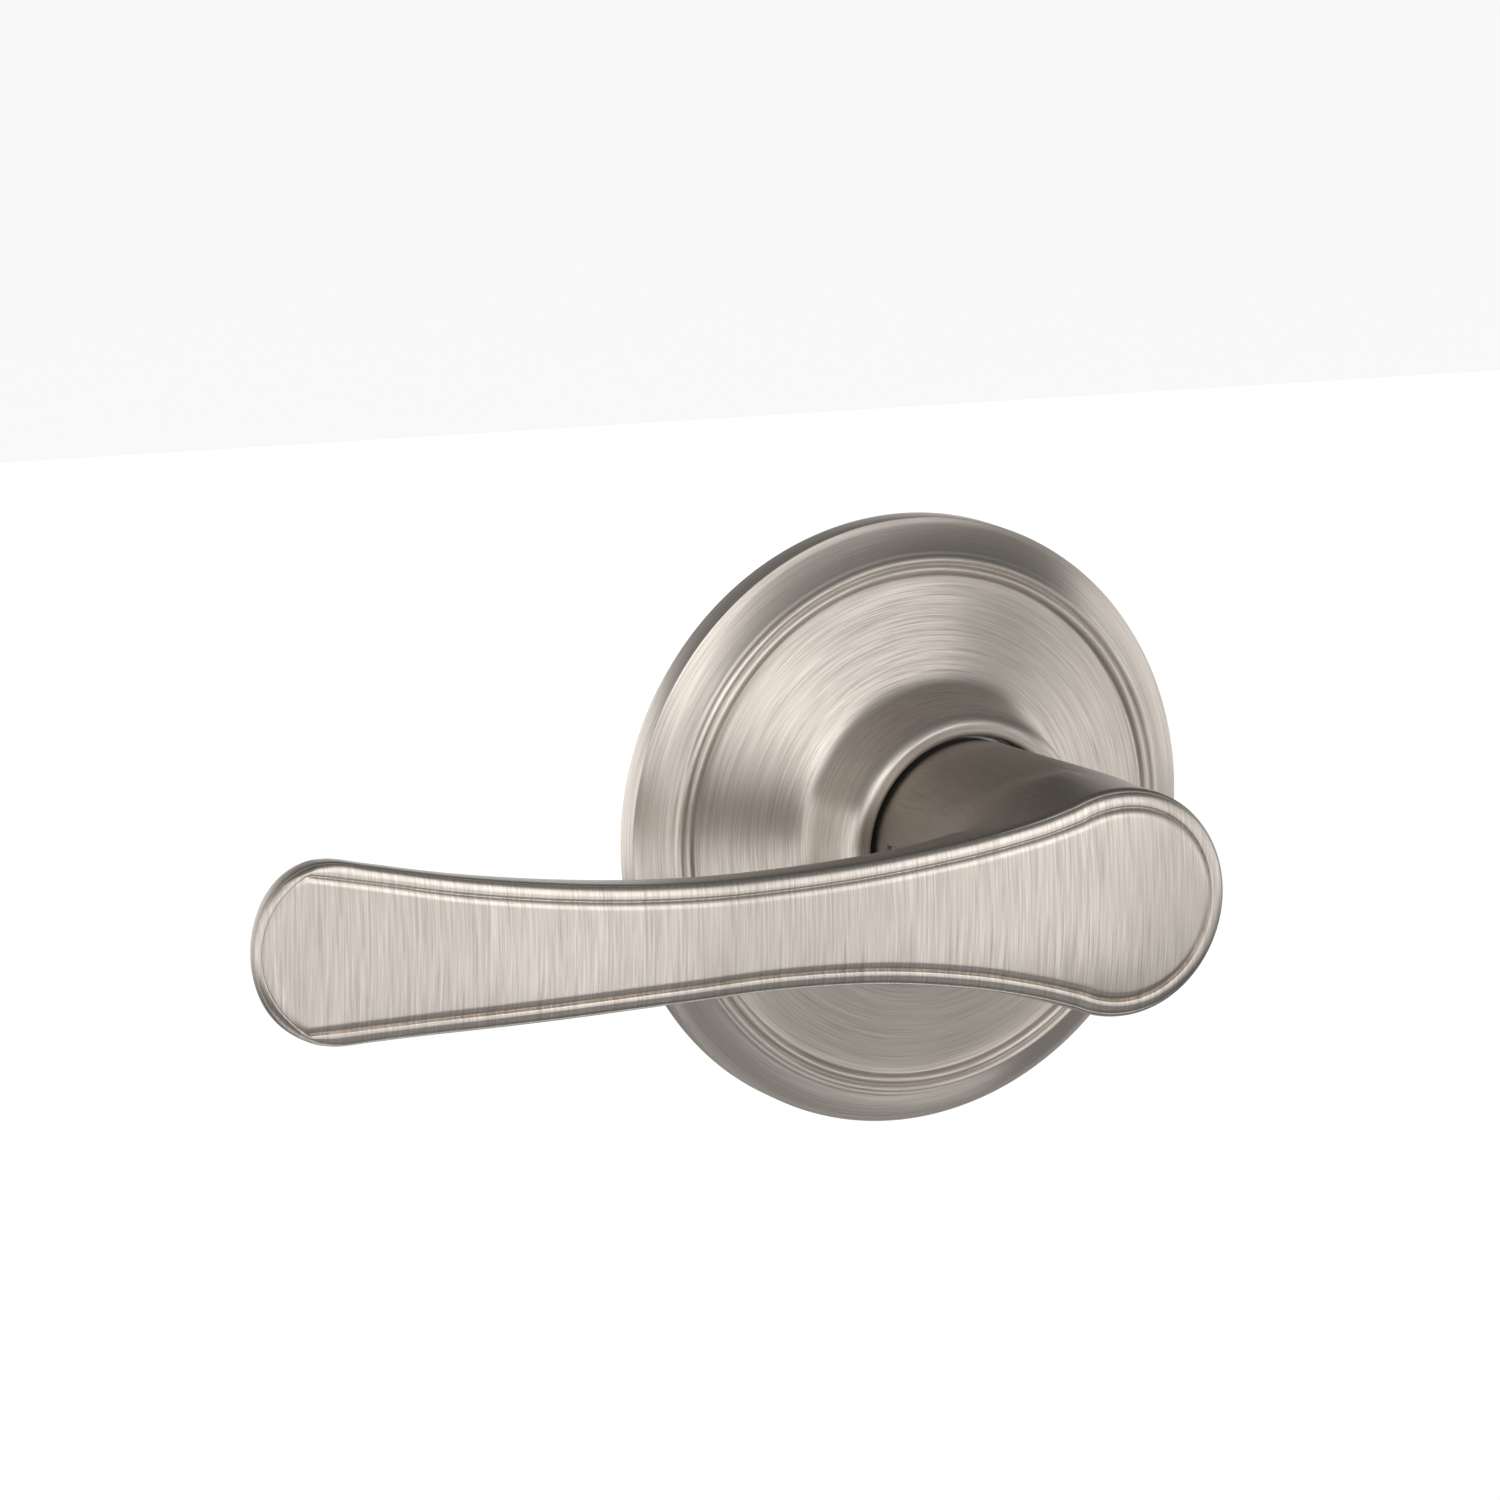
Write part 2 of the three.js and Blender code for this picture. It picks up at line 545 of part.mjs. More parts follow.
// A rivet with a domed head in front. Its tail is either spread behind the sheet or set flush in it.
const RIVET_HEAD = 0.6;
const RIVET_HEAD_RADIUS = 1.3;
function rivet(outFrom, outTo, x, z, tailRadius) {
  const profile = [
    [0, outFrom], [tailRadius, outFrom], [tailRadius, outFrom + RIVET_HEAD],
    [RIVET_RADIUS, outFrom + RIVET_HEAD + 0.01], [RIVET_RADIUS, outTo - RIVET_HEAD],
    [RIVET_HEAD_RADIUS, outTo - RIVET_HEAD], [RIVET_HEAD_RADIUS - 0.2, outTo - 0.15], [0, outTo],
  ];
  const points = profile.map(([radius, out]) => new THREE.Vector2(radius, -out));
  const geometry = new THREE.LatheGeometry(points, ROUND_SMALL);
  geometry.translate(x, 0, z);
  return solid(geometry);
}
CAGE_RIVET_ANGLES.forEach((degrees, i) => {
  const [x, z] = polar(CAGE_RIVET_CIRCLE, degrees);
  const back = flangeFront - SHEET - GAP - RIVET_HEAD;
  const front = PLATE_THICK + GAP + RIVET_HEAD;
  add(`cage_rivet_${i + 1}`, rivet(back, front, x, z, RIVET_HEAD_RADIUS), zincPlate);
});

const STUB_END = 4.1;
const STUB_BEVEL = 0.3;
const NUT_END = 3.9;
const NUT_RADIUS = 4.6;           // across the nut's corners

// A post: threaded stub through the plate, a shoulder behind it, and a tapped end for the through screw.
function post(x) {
  const profile = [
    [0, STUB_END], [0, -POST_LENGTH + TAP_DEPTH], [TAP_RADIUS, -POST_LENGTH + TAP_DEPTH],
    [TAP_RADIUS, -POST_LENGTH], [POST_RADIUS, -POST_LENGTH], [POST_RADIUS, -GAP], [POST_THREAD, -GAP],
    [POST_THREAD, STUB_END - STUB_BEVEL], [POST_THREAD - STUB_BEVEL, STUB_END],
  ];
  const points = [...profile, profile[0]].map(([radius, out]) => new THREE.Vector2(radius, -out));
  const geometry = new THREE.LatheGeometry(points, 20);
  geometry.translate(x, 0, 0);
  return solid(geometry);
}
function hexNut(x) {
  const hole = bar(POST_THREAD + GAP, 0, NUT_END + 1, x, 0, 20);
  return bar(NUT_RADIUS, onPlate, NUT_END, x, 0, 6).subtract(hole);
}
for (const [side, x] of posts) {
  add(`post_${side}`, post(x), zincPlate);
  add(`post_nut_${side}`, hexNut(x), zincPlate);
}

// Spring clips that the cover snaps over: a foot on the plate and a tongue that rises at its rim.
const CLIP_SHEET = 0.5;
const CLIP_HALF_WIDTH = 4;
const CLIP_INNER = 24.9;
const CLIP_OUTER = 29;
const CLIP_RISE = 1.2;
function roseClip(degrees) {
  const foot = block(
    [-CLIP_HALF_WIDTH, onPlate, CLIP_INNER],
    [CLIP_HALF_WIDTH, onPlate + CLIP_SHEET, CLIP_OUTER],
  );
  const tongue = block(
    [-CLIP_HALF_WIDTH, onPlate, CLIP_OUTER - CLIP_SHEET],
    [CLIP_HALF_WIDTH, onPlate + CLIP_RISE, CLIP_OUTER],
  );
  const bead = block(
    [1 - CLIP_HALF_WIDTH, onPlate + 0.4, CLIP_OUTER - 0.2],
    [CLIP_HALF_WIDTH - 1, onPlate + 0.9, CLIP_OUTER + CLIP_SHEET],
  );
  const hole = bar(RIVET_RADIUS + GAP, 0, 6, 0, CLIP_RIVET_CIRCLE, 20);
  return rotatedAboutAxis(foot.add(tongue).add(bead).subtract(hole), 90 - degrees);
}
CLIP_ANGLES.forEach((degrees, i) => {
  add(`rose_clip_${i + 1}`, roseClip(degrees), springSteel);
  const [x, z] = polar(CLIP_RIVET_CIRCLE, degrees);
  const front = onPlate + CLIP_SHEET + GAP + RIVET_HEAD;
  add(`clip_rivet_${i + 1}`, rivet(0.1, front, x, z, RIVET_RADIUS), zincPlate);
});

// ---------------------------------------------------------------- catch

const CATCH_BODY = 2.4;           // radius of the plunger's body
const BORE_BOTTOM = -4.6;         // along: the plunger's bore in its carrier
const BODY_BACK = 2.4;            // along: ends of the plunger's body
const BODY_FRONT = 5.4;
const SPRING_TURNS = 4;
const SPRING_COIL = 1.8;
const SPRING_THREAD = 0.22;       // radius of the catch spring's wire
const alongBar = (radius, from, to, sides) => {
  const geometry = new THREE.CylinderGeometry(radius, radius, to - from, sides);
  geometry.rotateZ(Math.PI / 2);
  geometry.translate(-(from + to) / 2, -CATCH_OUT, CATCH_HIGH);
  return solid(geometry);
};

function catchCarrier() {
  const plug = bar(TUBE_BORE - GAP, CATCH_OUT - 5, CATCH_OUT + 5);
  return plug.subtract(alongBar(CATCH_BODY + GAP, BORE_BOTTOM, TUBE_RADIUS, 24));
}
add('catch_carrier', catchCarrier(), castZinc);

function catchPlunger() {
  const nose = block(
    [BODY_BACK + 1, CATCH_OUT - SLOT_LONG / 2 + GAP, CATCH_HIGH - SLOT_TALL / 2 + 0.2],
    [CATCH_TIP, CATCH_OUT + SLOT_LONG / 2 - GAP, CATCH_HIGH + SLOT_TALL / 2 - 0.2],
  );
  return alongBar(CATCH_BODY, BODY_BACK, BODY_FRONT, 24).add(nose);
}
add('catch_plunger', catchPlunger(), zincPlate);

class Coil extends THREE.Curve {
  constructor(radius, turns, from, to) {
    super();
    Object.assign(this, { radius, turns, from, to });
  }

  getPoint(t, target = new THREE.Vector3()) {
    const angle = 2 * Math.PI * this.turns * t;
    const along = THREE.MathUtils.lerp(this.from, this.to, t);
    return target.set(
      -along,
      -CATCH_OUT + this.radius * Math.cos(angle),
      CATCH_HIGH + this.radius * Math.sin(angle),
    );
  }
}
const catchCoil = new Coil(SPRING_COIL, SPRING_TURNS, BORE_BOTTOM + 0.5, BODY_BACK - 0.5);
add('catch_spring', wire(catchCoil, SPRING_THREAD, 40, 6), springSteel);

export default group;
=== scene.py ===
import json
import math

import bmesh
import bpy
import numpy as np
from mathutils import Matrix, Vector
from mathutils.bvhtree import BVHTree
from mathutils.kdtree import KDTree


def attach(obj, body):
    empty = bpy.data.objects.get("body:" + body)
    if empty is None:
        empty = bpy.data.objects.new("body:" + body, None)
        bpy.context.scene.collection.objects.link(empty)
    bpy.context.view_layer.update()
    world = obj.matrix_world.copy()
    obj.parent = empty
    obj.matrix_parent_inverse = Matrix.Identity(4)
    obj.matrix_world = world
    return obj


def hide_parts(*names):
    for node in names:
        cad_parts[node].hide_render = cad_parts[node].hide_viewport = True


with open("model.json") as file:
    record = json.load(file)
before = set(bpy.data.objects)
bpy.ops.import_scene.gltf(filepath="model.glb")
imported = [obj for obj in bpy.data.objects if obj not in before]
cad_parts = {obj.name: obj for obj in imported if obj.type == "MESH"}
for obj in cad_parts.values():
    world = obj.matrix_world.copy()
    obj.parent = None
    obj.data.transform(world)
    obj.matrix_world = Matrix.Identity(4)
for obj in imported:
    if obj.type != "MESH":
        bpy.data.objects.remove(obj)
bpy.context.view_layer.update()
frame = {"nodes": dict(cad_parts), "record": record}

# Sizes are in millimetres until mesh_object() turns them into metres. "out" is a distance from the
# door's face into the room, so y = -out, "along" runs from the turning axis to the arm's tip, so
# x = -along, and "up" is z.
MM = 0.001

# ---------------------------------------------------------------- camera

CAMERA_AZIMUTH = math.radians(-28.27)
CAMERA_ELEVATION = math.radians(12.31)
CAMERA_DISTANCE = 1.1
LENS = 245.7
AIM_RIGHT, AIM_UP = -0.01552, 0.00696    # the view's centre from the turning axis, in metres


def make_camera():
    """The photograph's viewing angle: from the left and a little above, on a long lens."""
    a, e = CAMERA_AZIMUTH, CAMERA_ELEVATION
    back = Vector((math.sin(a) * math.cos(e), -math.cos(a) * math.cos(e), math.sin(e)))
    right = Vector((math.cos(a), math.sin(a), 0))
    up = back.cross(right)
    data = bpy.data.cameras.new("camera")
    data.lens = LENS
    data.sensor_width = 36
    data.clip_start, data.clip_end = 0.01, 20
    camera = bpy.data.objects.new("camera", data)
    camera.location = back * CAMERA_DISTANCE
    aim = right * AIM_RIGHT + up * AIM_UP
    camera.rotation_mode = "QUATERNION"
    camera.rotation_quaternion = (aim - camera.location).to_track_quat("-Z", "Y")
    bpy.context.collection.objects.link(camera)
    bpy.context.scene.camera = camera


make_camera()

# ---------------------------------------------------------------- mesh helpers


def mesh_object(name, points_mm, faces, body, sharp=35):
    """A smooth-shaded mesh from points in millimetres, with edges over sharp degrees left crisp."""
    mesh = bpy.data.meshes.new(name)
    mesh.from_pydata((np.asarray(points_mm) * MM).tolist(), [], faces)
    obj = bpy.data.objects.new(name, mesh)
    bpy.context.collection.objects.link(obj)
    weld(mesh)
    smooth(mesh, sharp)
    if body:
        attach(obj, body)
    return obj


WELD_DISTANCE, FINE_WELD_DISTANCE = 1e-6, 2e-7    # metres


def weld(mesh, distance=WELD_DISTANCE):
    """Joins vertices that lie together, drops faces without area and turns every face outwards."""
    bm = bmesh.new()
    bm.from_mesh(mesh)
    bmesh.ops.remove_doubles(bm, verts=bm.verts, dist=distance)
    bmesh.ops.dissolve_degenerate(bm, edges=bm.edges, dist=distance / 2)
    bmesh.ops.recalc_face_normals(bm, faces=bm.faces)
    bm.to_mesh(mesh)
    bm.free()


def smooth(mesh, sharp):
    mesh.polygons.foreach_set("use_smooth", [True] * len(mesh.polygons))
    mesh.set_sharp_from_angle(angle=math.radians(sharp))


def grid_faces(rows, columns, wrap_rows=False):
    """Quads between rows x columns points, closed round the columns and, where asked, round the rows."""
    faces = []
    for i in range(rows if wrap_rows else rows - 1):
        for j in range(columns):
            i2, j2 = (i + 1) % rows, (j + 1) % columns
            faces.append((i * columns + j, i2 * columns + j, i2 * columns + j2, i * columns + j2))
    return faces


def turned(profile, sides, lean=0, lean_from=0):
    """Points and quads of a closed profile of [radius, out] turned about the axis. It leans along x by
    lean for each millimetre out past lean_from."""
    profile = np.asarray(profile, float)
    angle = np.linspace(0, 2 * np.pi, sides, endpoint=False)
    radius, out = profile[:, 0][None, :], profile[:, 1][None, :]
    x = radius * np.cos(angle)[:, None] + lean * (out - lean_from)
    z = radius * np.sin(angle)[:, None] + 0 * out
    y = -out + 0 * x
    points = np.stack([x, y, z], -1).reshape(-1, 3)
    return points, grid_faces(sides, len(profile), wrap_rows=True)


def curve_through(points, steps):
    """A smooth curve through the points, as a list with steps points for each span."""
    p = np.asarray(points, float)
    p = np.vstack([2 * p[0] - p[1], p, 2 * p[-1] - p[-2]])
    result = []
    for i in range(1, len(p) - 2):
        for t in np.linspace(0, 1, steps, endpoint=False):
            a, b, c, d = p[i - 1:i + 3]
            result.append(0.5 * (2 * b + (c - a) * t + (2 * a - 5 * b + 4 * c - d) * t ** 2
                                 + (3 * b - a - 3 * c + d) * t ** 3))
    result.append(p[-2])
    return np.array(result)


def through(knots):
    """A smooth function through (along, value) knots."""
    knots = np.asarray(knots, float)
    x, y = knots[:, 0], knots[:, 1]
    place = np.arange(len(x))
    before, after = np.maximum(place - 1, 0), np.minimum(place + 1, len(x) - 1)
    slope = (y[after] - y[before]) / (x[after] - x[before])

    def value(at):
        at = np.asarray(at, float)
        i = np.clip(np.searchsorted(x, at, side="right") - 1, 0, len(x) - 2)
        span = x[i + 1] - x[i]
        t = np.clip((at - x[i]) / span, 0, 1)
        step = t * t * (3 - 2 * t)
        leaving = t * (1 - t) ** 2 * span * slope[i]
        arriving = t * t * (t - 1) * span * slope[i + 1]
        return y[i] + (y[i + 1] - y[i]) * step + leaving + arriving

    return value


def spaced(points, count):
    """count + 1 points evenly spaced along a polyline."""
    points = np.asarray(points, float)
    length = np.r_[0, np.cumsum(np.linalg.norm(np.diff(points, axis=0), axis=1))]
    at = np.linspace(0, length[-1], count + 1)
    return np.stack([np.interp(at, length, points[:, k]) for k in range(2)], -1)


# ---------------------------------------------------------------- materials


NICKEL_DARK, NICKEL_LIGHT, NICKEL_ROUGHNESS = (0.47, 0.425, 0.38), (0.68, 0.625, 0.57), 0.4
BROAD_STREAKS, FINE_STREAKS, SCRATCHES = 1.3, 5.5, 4.5    # noise scales
FINE_SHARE = 0.92                 # the rest of the streaks are broad
SCRATCH_DEPTH = 0.14
STREAK_BUMP, STREAK_HEIGHT = 0.2, 0.00001
STREAK_STRETCH = 0.75             # how far highlights spread across the brushing

# How fast the noise's coordinates grow across the brushing, with depth and along it. Round the rose,
# the last follows the direction from the axis.
STRAIGHT_GRAIN_X, STRAIGHT_GRAIN_Y, STRAIGHT_GRAIN_Z = 1000, 80, 22
ROUND_GRAIN_OUTWARDS, ROUND_GRAIN_Y, ROUND_GRAIN_TURN = 1000, 800, 0.5

# The satin's scratch tones are set dark as painted shade on the neck. The paler arm tone, mixed in along
# x, is painted light on the arm's back, which the lamps barely reach.
SATIN_DARK, SATIN_LIGHT, SATIN_ARM_PAINTED_LIGHT = (0.34, 0.303, 0.266), (0.41, 0.368, 0.325), (0.52, 0.475, 0.43)
SATIN_PAINTED_LIGHT_START, SATIN_PAINTED_LIGHT_END, SATIN_PAINTED_LIGHT_SHARE = -0.018, -0.06, 0.75     # along x, in metres
SATIN_STRETCH = (1800, 120, 1800)
SATIN_LEANS, SATIN_TURN = (0.7, -0.9), 0.4        # directions of the two sets of scratches, in radians


class Nodes:
    """Short ways to add and join shader nodes. A value is a pair: a node and the name of its output."""

    def __init__(self, name):
        self.material = bpy.data.materials.new(name)
        self.material.use_nodes = True
        self.tree = self.material.node_tree
        self.tree.nodes.clear()
        self.out = self.add("ShaderNodeOutputMaterial")
        self.shader = self.add("ShaderNodeBsdfPrincipled")
        self.join((self.shader, "BSDF"), self.out, "Surface")

    def add(self, kind, **settings):
        node = self.tree.nodes.new(kind)
        for key, value in settings.items():
            setattr(node, key, value)
        return node

    def join(self, value, target, entry):
        node, output = value
        self.tree.links.new(node.outputs[output], target.inputs[entry])

    def place(self):
        """The place on the piece, in metres."""
        return self.add("ShaderNodeTexCoord"), "Object"

    def split(self, vector):
        node = self.add("ShaderNodeSeparateXYZ")
        self.join(vector, node, "Vector")
        return node

    def math(self, operation, a, b=None):
        node = self.add("ShaderNodeMath", operation=operation)
        for entry, value in enumerate((a, b)):
            if value is None:
                continue
            if isinstance(value, tuple):
                self.join(value, node, entry)
            else:
                node.inputs[entry].default_value = value
        return node, 0

    def noise(self, vector, scale, detail=2, roughness=0.5):
        node = self.add("ShaderNodeTexNoise")
        self.join(vector, node, "Vector")
        node.inputs["Scale"].default_value = scale
        node.inputs["Detail"].default_value = detail
        node.inputs["Roughness"].default_value = roughness
        return node, "Fac"

    def ramp(self, value, low, high, to_low, to_high):
        node = self.add("ShaderNodeMapRange")
        self.join(value, node, "Value")
        limits = {"From Min": low, "From Max": high, "To Min": to_low, "To Max": to_high}
        for entry, number in limits.items():
            node.inputs[entry].default_value = number
        return node, "Result"

    def tone(self, value, dark, light, low=0, high=1):
        """A colour that goes from dark to light as the value goes from low to high."""
        node = self.add("ShaderNodeValToRGB")
        self.join(value, node, "Fac")
        for element, (position, colour) in enumerate(((low, dark), (high, light))):
            node.color_ramp.elements[element].position = position
            node.color_ramp.elements[element].color = (*colour, 1)
        return node, "Color"

    def surface(self, colour, rough, metallic=1):
        self.join(colour, self.shader, "Base Color")
        if isinstance(rough, tuple):
            self.join(rough, self.shader, "Roughness")
        else:
            self.shader.inputs["Roughness"].default_value = rough
        self.shader.inputs["Metallic"].default_value = metallic


def grain_vector(nodes, circular):
    """Coordinates that change fast across the brushing and slowly along it: the brushing runs straight
    up on the lever and round the axis on the rose."""
    split = nodes.split(nodes.place())
    x, y, z = (split, "X"), (split, "Y"), (split, "Z")
    combine = nodes.add("ShaderNodeCombineXYZ")
    if circular:
        squares = nodes.math("ADD", nodes.math("POWER", x, 2), nodes.math("POWER", z, 2))
        radius = nodes.math("SQRT", squares)
        outwards = nodes.math("MULTIPLY", radius, ROUND_GRAIN_OUTWARDS)
        parts = [nodes.math("ADD", outwards, nodes.math("MULTIPLY", y, ROUND_GRAIN_Y))]
        for side in (x, z):
            parts.append(nodes.math("MULTIPLY", nodes.math("DIVIDE", side, radius), ROUND_GRAIN_TURN))
    else:
        scales = ((x, STRAIGHT_GRAIN_X), (z, STRAIGHT_GRAIN_Z), (y, STRAIGHT_GRAIN_Y))
        parts = [nodes.math("MULTIPLY", side, scale) for side, scale in scales]
    for axis, part in zip("XYZ", parts):
        nodes.join(part, combine, axis)
    return combine, "Vector"


def brushed_nickel(name, circular):
    """Brushed nickel plate: broad soft streaks, fine streaks, and a few darker scratches between them."""
    nodes = Nodes(name)
    vector = grain_vector(nodes, circular)
    broad = nodes.noise(vector, BROAD_STREAKS, detail=1, roughness=0.5)
    fine = nodes.noise(vector, FINE_STREAKS, detail=2, roughness=0.65)
    scratch = nodes.noise(vector, SCRATCHES, detail=1, roughness=0.4)
    streaks = nodes.math("ADD", nodes.math("MULTIPLY", fine, FINE_SHARE),
                         nodes.math("MULTIPLY", broad, 1 - FINE_SHARE))
    height = nodes.math("SUBTRACT", streaks, nodes.ramp(scratch, 0.28, 0.36, SCRATCH_DEPTH, 0))
    nodes.surface(nodes.tone(height, NICKEL_DARK, NICKEL_LIGHT, 0.26, 0.66),
                  nodes.ramp(height, 0.3, 0.62, NICKEL_ROUGHNESS + 0.05, NICKEL_ROUGHNESS - 0.03))
    bump = nodes.add("ShaderNodeBump")
    bump.inputs["Strength"].default_value = STREAK_BUMP
    bump.inputs["Distance"].default_value = STREAK_HEIGHT
    nodes.join(height, bump, "Height")
    nodes.join((bump, "Normal"), nodes.shader, "Normal")
    nodes.shader.inputs["Anisotropic"].default_value = STREAK_STRETCH
    tangent = nodes.add("ShaderNodeTangent", direction_type="UV_MAP", uv_map="grain")
    nodes.join((tangent, "Tangent"), nodes.shader, "Tangent")
    return nodes.material


def satin_nickel(name):
    """The finish behind the lever's sharp edge: the same plate, blasted smooth, with faint crossing
    scratches. Its colour is set dark on the neck as painted shade and turns paler along the arm as painted
    light on the arm's back, where the lamps barely reach."""
    nodes = Nodes(name)
    place = nodes.place()
    scratches = []
    for lean in SATIN_LEANS:
        turn = nodes.add("ShaderNodeMapping")
        turn.inputs["Rotation"].default_value = (lean, SATIN_TURN, lean)
        turn.inputs["Scale"].default_value = SATIN_STRETCH
        nodes.join(place, turn, "Vector")
        scratches.append(nodes.noise((turn, "Vector"), 2, detail=3, roughness=0.65))
    height = nodes.math("MULTIPLY", nodes.math("ADD", *scratches), 0.5)
    # The scratch tones, set dark on the neck as painted shade.
    neck_scratches_and_shade = nodes.tone(height, SATIN_DARK, SATIN_LIGHT, 0.3, 0.65)
    along = (nodes.split(place), "X")
    # Painted light: the colour turns paler along the arm's back, where the lamps barely reach.
    arm_painted_light = nodes.ramp(along, SATIN_PAINTED_LIGHT_START, SATIN_PAINTED_LIGHT_END, 0, SATIN_PAINTED_LIGHT_SHARE)
    mix = nodes.add("ShaderNodeMixRGB")
    nodes.join(arm_painted_light, mix, "Fac")
    nodes.join(neck_scratches_and_shade, mix, "Color1")
    mix.inputs["Color2"].default_value = (*SATIN_ARM_PAINTED_LIGHT, 1)
    nodes.surface((mix, "Color"), nodes.ramp(height, 0.35, 0.65, 0.5, 0.46))
    return nodes.material


UV_SCALE = 5
UV_ROUND_DEPTH, UV_ACROSS_DEPTH, UV_ALONG_DEPTH = -2, 1.3, 0.6    # keep the map open on standing walls


def grain_uv(obj, circular):
    """A UV map whose U axis runs across the brushing, the way that its highlights spread."""
    mesh = obj.data
    layer = mesh.uv_layers.new(name="grain")
    corners = np.empty(len(mesh.loops), int)
    mesh.loops.foreach_get("vertex_index", corners)
    places = np.empty(len(mesh.vertices) * 3)
    mesh.vertices.foreach_get("co", places)
    x, y, z = places.reshape(-1, 3)[corners].T
    if circular:
        angle = np.arctan2(z, x) / (2 * np.pi) + 0.5
        starts = np.empty(len(mesh.polygons), int)
        totals = np.empty(len(mesh.polygons), int)
        mesh.polygons.foreach_get("loop_start", starts)
        mesh.polygons.foreach_get("loop_total", totals)
        first = np.repeat(angle[starts], totals)
        angle = np.where(angle - first > 0.5, angle - 1, np.where(first - angle > 0.5, angle + 1, angle))
        uv = np.column_stack([np.hypot(x, z) * UV_SCALE + y * UV_ROUND_DEPTH, angle])
    else:
        uv = np.column_stack([x * UV_SCALE + y * UV_ACROSS_DEPTH, z * UV_SCALE + y * UV_ALONG_DEPTH])
    layer.data.foreach_set("uv", uv.astype(np.float32).ravel())


# ---------------------------------------------------------------- the lever's shape

HUB_SHIFT, HUB_RADIUS = -0.7, 11.72
HUB_LEAVE, LEAVE_STEP = math.radians(68.7), 1.6    # where the arm's outline leaves the hub's circle
ARM_TIP = 88.8
BORDER = 1.62                     # from the sharp edge to the panel
PANEL_CROWN = 55                  # radius of the panel's arch across the arm
NECK_END, NECK_RADIUS = 16.6, 11.35
NECK_TOP, NECK_TOP_RADIUS = 46.8, 12.1
HUB_STEPS, ARM_STEPS, FAN_STEPS, NOSE_STEPS = 90, 230, 24, 60

EDGE_DROP = 0.6                   # the sharp edge lies this far behind the panel's edge
FLANK_SHARE = 0.45                # the flank takes at most this share of the depth behind the edge
face_out = through([
    (-12.5, 49.3), (-1.5, 49.2), (6.5, 48.35), (14.5, 46.8), (24.5, 45.4), (36.5, 44.9), (47.5, 44.8),
    (58.5, 43.1), (68.5, 39.7), (78.5, 34.5), (84.5, 31.4), (89.5, 29)])
side_bulge = through([
    (-13, 0.4), (6, 0.35), (15, 0.15), (47, 0.15), (60, 0.2), (76, 0.18), (84, 0.15), (89, 0.15)])
thickness = through([
    (-12.5, 4.1), (0.5, 7.5), (8.5, 11.6), (11.5, 11.4), (13.5, 10), (17.5, 7.8), (23.5, 6.6), (34.5, 6.4),
    (56.5, 6.7), (74.5, 5.8), (82.5, 4.8), (86.5, 3.7), (89, 2.2)])


def edge_out(along):
    """How far the sharp edge stands out from the door."""
    return face_out(along) - EDGE_DROP


def edge_depth(along):
    """How deep the arm is behind its sharp edge."""
    return thickness(along) - EDGE_DROP


def arc(centre, radii, start, end, count=200):
    angle = np.linspace(start, end, count)
    return np.stack([centre + radii[0] * np.cos(angle), radii[1] * np.sin(angle)], -1)


def half_outline(hub_radius, arm_points, fan, nose):
    """Half an outline from the hub's end over the top to the tip, as [along, up] points. The fan is the
    stretch that faces the panel's corner."""
    hub = arc(HUB_SHIFT, (hub_radius, hub_radius), np.pi, HUB_LEAVE)
    leaving = hub[-1] - hub[-2]
    first = hub[-1] + leaving / np.linalg.norm(leaving) * LEAVE_STEP
    arm = curve_through(np.vstack([hub[-1], first, arm_points]), 40)
    stretches = ((arm, ARM_STEPS), (fan, FAN_STEPS), (nose, NOSE_STEPS))
    return np.vstack([spaced(hub, HUB_STEPS), *(spaced(line, steps)[1:] for line, steps in stretches)])


ARM_OUTLINE = np.array([
    [9.4, 9.05], [16.5, 7.6], [26.5, 6.4], [38.5, 5.95], [50.5, 6.25], [60.5, 6.9], [70.5, 7.9],
    [77.5, 8.9]])
NOSE_CENTRE, NOSE_HALF_WIDTH = 81.6, 9.5
FAN_START, FAN_END = np.radians(80), np.radians(46)
nose_radii = (ARM_TIP - NOSE_CENTRE, NOSE_HALF_WIDTH)
nose_fan = arc(NOSE_CENTRE, nose_radii, FAN_START, FAN_END)
before_nose = [NOSE_CENTRE - 0.6, NOSE_HALF_WIDTH - 0.04]
edge_line = half_outline(
    HUB_RADIUS, np.vstack([ARM_OUTLINE, before_nose, nose_fan[0]]), nose_fan,
    arc(NOSE_CENTRE, nose_radii, FAN_END, 0))
edge_line[[0, -1], 1] = 0
PANEL_TIP, PANEL_CORNER_UP, PANEL_END_RADIUS = 88.3, 8.2, 10.2
PANEL_END_CENTRE = PANEL_TIP - PANEL_END_RADIUS
PANEL_CORNER_ANGLE = math.asin(PANEL_CORNER_UP / PANEL_END_RADIUS)
PANEL_CORNER_ALONG = PANEL_END_CENTRE + PANEL_END_RADIUS * math.cos(PANEL_CORNER_ANGLE)
panel_end = arc(PANEL_END_CENTRE, (PANEL_END_RADIUS, PANEL_END_RADIUS), PANEL_CORNER_ANGLE, 0)
panel_line = half_outline(
    HUB_RADIUS - BORDER, np.vstack([ARM_OUTLINE - [0, BORDER], panel_end[0]]),
    np.vstack([panel_end[0], panel_end[0]]), panel_end)
panel_line[[0, -1], 1] = 0

edge_run = np.gradient(edge_line, axis=0)
edge_normal = np.stack([-edge_run[:, 1], edge_run[:, 0]], -1)
edge_normal /= np.linalg.norm(edge_normal, axis=1)[:, None]
edge_normal[0], edge_normal[-1] = (-1, 0), (1, 0)

SCOOP_WIDTH, SCOOP_DEPTH, SCOOP_START = 2.6, 0.6, 70
SCOOP_FILLET_RUN, SCOOP_SPREAD_RUN = 0.5, 2.5     # how fast it opens out at the panel's corner
RIM_WIDTH, RIM_DROP = 0.9, 0.26   # the panel's rounded rim
RIM_FULL_FROM = 4                 # where the panel's half width is less, the rim's ribs lie closer in


def ease(share):
    share = np.clip(share, 0, 1)
    return share * share * (3 - 2 * share)


